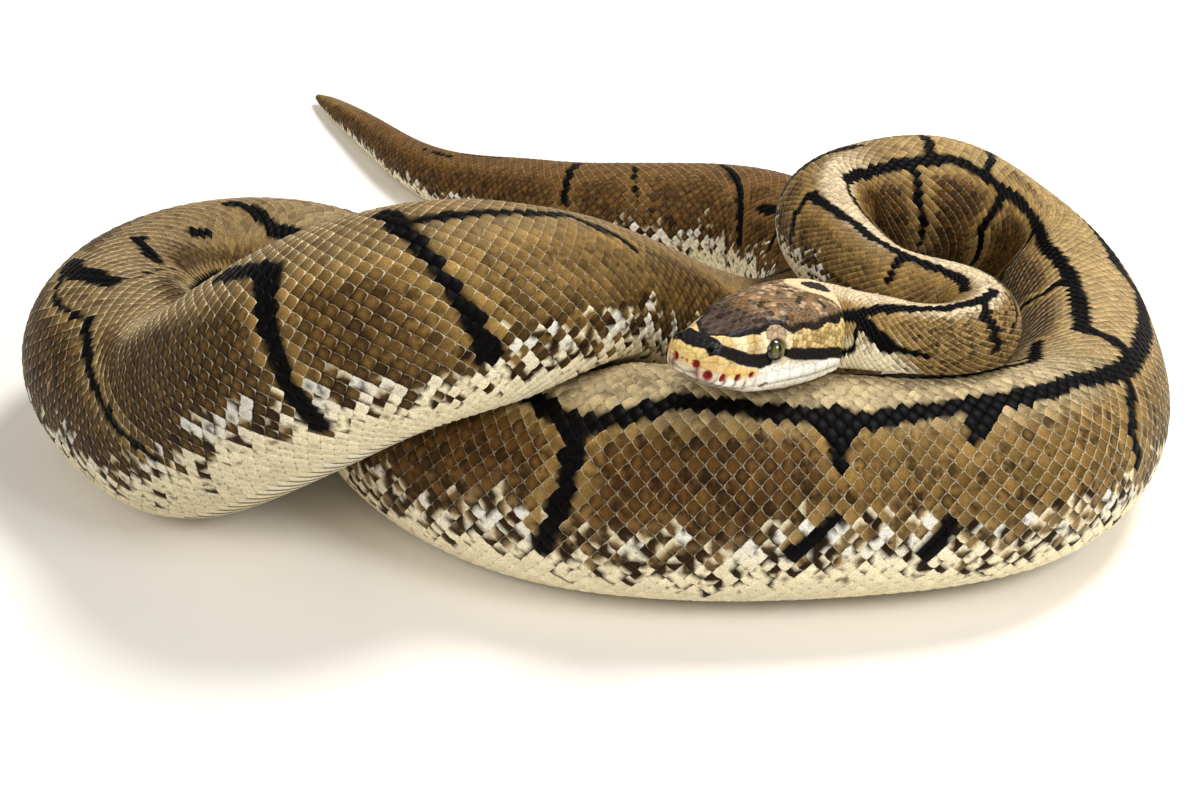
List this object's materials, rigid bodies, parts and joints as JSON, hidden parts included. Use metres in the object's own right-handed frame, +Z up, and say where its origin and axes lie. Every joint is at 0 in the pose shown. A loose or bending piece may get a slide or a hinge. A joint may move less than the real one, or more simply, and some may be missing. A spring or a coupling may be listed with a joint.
{
  "type": "coiled ball python",
  "caption": "Life-size ball python at rest in a loose coil, head laid on its own body and tail stretched out behind.",
  "frame": {"origin": "middle of the coil's footprint, on the floor it rests on", "axes": "+Z up, +Y towards the back, where the tail reaches, -Y towards the front, +X to the side of the right-hand bend"},
  "size_m": [0.3052, 0.3166, 0.0985],
  "materials": {
    "body_scales": "small glossy overlapping scales, tan and brown with a thin black net, cream below",
    "head_scales": "fine smooth head shields, dark brown crown, cream lips and brow",
    "eye": "wet clear cap over an olive-grey iris with an upright black slit"
  },
  "bodies": {
    "root": {"head": "head_scales", "lower_jaw": "head_scales", "eye_left": "eye", "eye_right": "eye", "neck": "body_scales", "trunk_1_right_bend": "body_scales", "trunk_2_front": "body_scales", "trunk_3_left_bend": "body_scales", "trunk_4_over_front": "body_scales", "trunk_5_under_neck": "body_scales", "trunk_6_back": "body_scales", "tail": "body_scales"}
  },
  "joints": []
}
